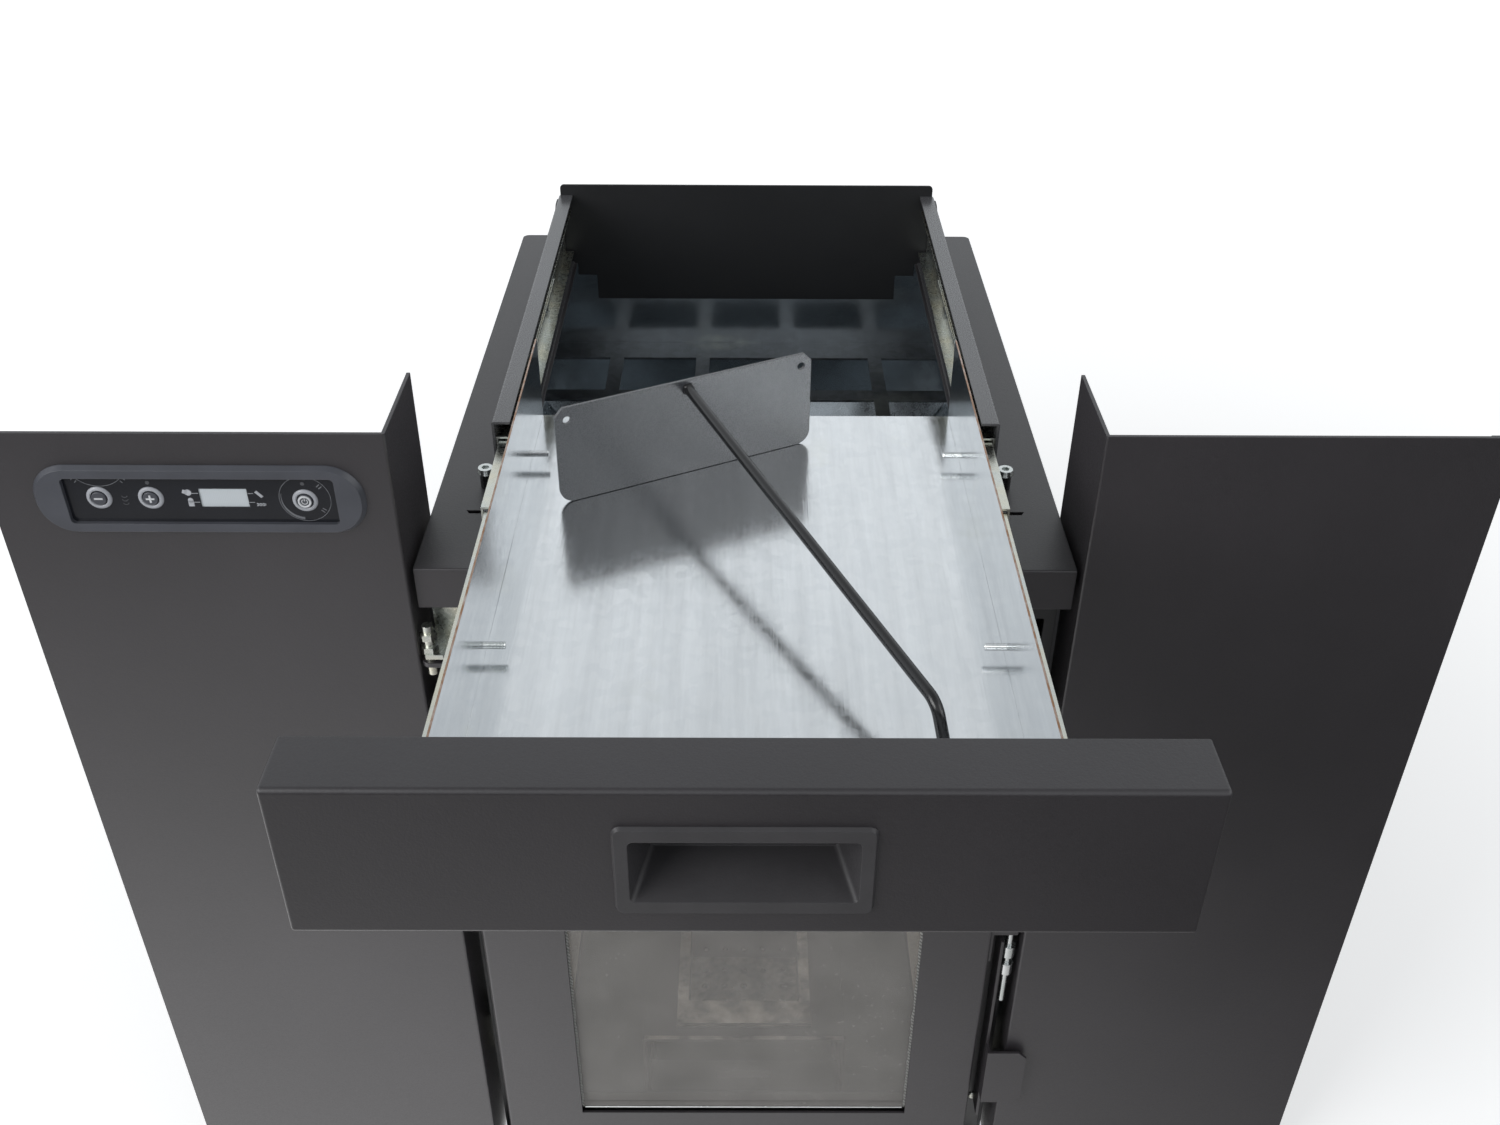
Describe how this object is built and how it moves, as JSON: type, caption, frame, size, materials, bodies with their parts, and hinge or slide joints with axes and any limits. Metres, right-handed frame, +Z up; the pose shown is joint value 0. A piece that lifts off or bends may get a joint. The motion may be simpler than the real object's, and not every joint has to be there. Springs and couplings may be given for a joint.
{
  "type": "pellet fireplace insert",
  "caption": "Built-in pellet burner with a top loading drawer on slides, hopper, glazed fire door, surround panels and a key panel.",
  "frame": {"origin": "centre of the base plate's underside", "axes": "+Z up, +Y to the back, +X to the right seen from the front"},
  "size_m": [0.8, 0.7962, 0.64],
  "materials": {
    "black_coat": "fine textured anthracite powder coat",
    "zinc_sheet": "galvanised zinc with a soft reflection",
    "zinc_parts": "bright zinc plating with a yellow tinge",
    "casing_steel": "satin black stove paint",
    "firebox_steel": "matt heat-proof grey",
    "vermiculite": "pressed board, dusty",
    "ceramic_glass": "clear ceramic with a faint haze",
    "rope_gasket": "braided glass rope",
    "black_plastic": "fine satin",
    "dark_window": "smoked, glossy",
    "lcd": "pale grey display",
    "motor_metal": "cast and pressed metal",
    "circuit_board": "green board"
  },
  "bodies": {
    "casing": {"base_plate": "casing_steel", "side_casings": "casing_steel", "rear_casing": "casing_steel", "front_frame": "black_coat", "top_plate": "black_coat", "lifting_spacers": "black_plastic", "lifting_screws": "zinc_parts", "surround_panel_left": "black_coat", "surround_panel_right": "black_coat", "panel_fixings": "zinc_parts", "control_bezel": "black_plastic", "control_window": "dark_window", "lcd_display": "lcd", "control_housing": "black_plastic", "side_channels": "black_coat", "slide_outers": "zinc_parts", "hood_plate": "black_coat", "hopper_tank": "zinc_sheet", "hopper_funnel": "zinc_sheet", "smoke_duct": "zinc_sheet", "hopper_grid": "zinc_sheet", "auger_tube": "zinc_sheet", "auger_gearmotor": "motor_metal", "firebox": "firebox_steel", "firebox_liners": "vermiculite", "pot_holder": "firebox_steel", "ash_pan": "zinc_sheet", "igniter": "zinc_parts", "exhaust_fan_housing": "zinc_sheet", "exhaust_motor": "motor_metal", "flue_spigot": "casing_steel", "air_inlet_pipe": "zinc_sheet", "blower_housing": "zinc_sheet", "blower_motor": "motor_metal", "control_board": "circuit_board", "power_inlet": "black_plastic", "door_hinges": "zinc_parts"},
    "drawer": {"drawer_fascia": "black_coat", "handle_cup": "black_plastic", "drawer_tray": "zinc_sheet", "tray_screws": "zinc_parts", "slide_inners": "zinc_parts"},
    "slide_middle": {"slide_middles": "zinc_parts"},
    "pusher": {"pusher_blade": "black_coat", "pusher_rod": "black_coat"},
    "door": {"door_frame": "black_coat", "door_glass": "ceramic_glass", "door_inner_panel": "firebox_steel", "door_gasket": "rope_gasket", "latch_bracket": "black_coat", "latch_pin": "zinc_parts"},
    "latch": {"latch_handle": "black_coat", "latch_sleeves": "zinc_parts"},
    "minus_key": {"button_minus": "black_plastic"},
    "plus_key": {"button_plus": "black_plastic"},
    "power_key": {"button_power": "black_plastic"},
    "auger": {"auger_screw": "firebox_steel"},
    "exhaust_rotor": {"exhaust_impeller": "motor_metal"},
    "blower_rotor": {"blower_wheel": "motor_metal"},
    "pot": {"burn_pot": "firebox_steel"}
  },
  "joints": [
    {"name": "drawer_slide", "type": "slide", "parent": "casing", "child": "drawer", "axis": [0, 1, 0], "range_m": [0, 0.25]},
    {"name": "slide_middle_travel", "type": "slide", "parent": "casing", "child": "slide_middle", "axis": [0, 1, 0], "range_m": [0, 0.125]},
    {"name": "pusher_lift", "type": "slide", "parent": "drawer", "child": "pusher", "axis": [0, 0, 1], "range_m": [0, 0.2]},
    {"name": "door_hinge", "type": "hinge", "parent": "casing", "child": "door", "pos_m": [-0.18, -0.243, 0.25], "axis": [0, 0, -1], "range_deg": [0, 105]},
    {"name": "latch_turn", "type": "hinge", "parent": "door", "child": "latch", "pos_m": [0.179, -0.238, 0.2], "axis": [0, 0, -1], "range_deg": [0, 30]},
    {"name": "minus_press", "type": "slide", "parent": "casing", "child": "minus_key", "axis": [0, 1, 0], "range_m": [0, 0.0008], "stiffness_N_per_m": 400},
    {"name": "plus_press", "type": "slide", "parent": "casing", "child": "plus_key", "axis": [0, 1, 0], "range_m": [0, 0.0008], "stiffness_N_per_m": 400},
    {"name": "power_press", "type": "slide", "parent": "casing", "child": "power_key", "axis": [0, 1, 0], "range_m": [0, 0.0008], "stiffness_N_per_m": 400},
    {"name": "auger_spin", "type": "hinge", "parent": "casing", "child": "auger", "pos_m": [0, 0.08, 0.235], "axis": [0, 1, 0], "continuous": true},
    {"name": "exhaust_spin", "type": "hinge", "parent": "casing", "child": "exhaust_rotor", "pos_m": [0.09, 0.13, 0.11], "axis": [1, 0, 0], "continuous": true},
    {"name": "blower_spin", "type": "hinge", "parent": "casing", "child": "blower_rotor", "pos_m": [-0.097, 0.062, 0.072], "axis": [1, 0, 0], "continuous": true},
    {"name": "burn_pot_lift", "type": "slide", "parent": "casing", "child": "pot", "axis": [0, 0, 1], "range_m": [0, 0.03]}
  ],
  "couplings": [
    {"joint": "slide_middle_travel", "follows": "drawer_slide", "ratio": 0.5}
  ]
}
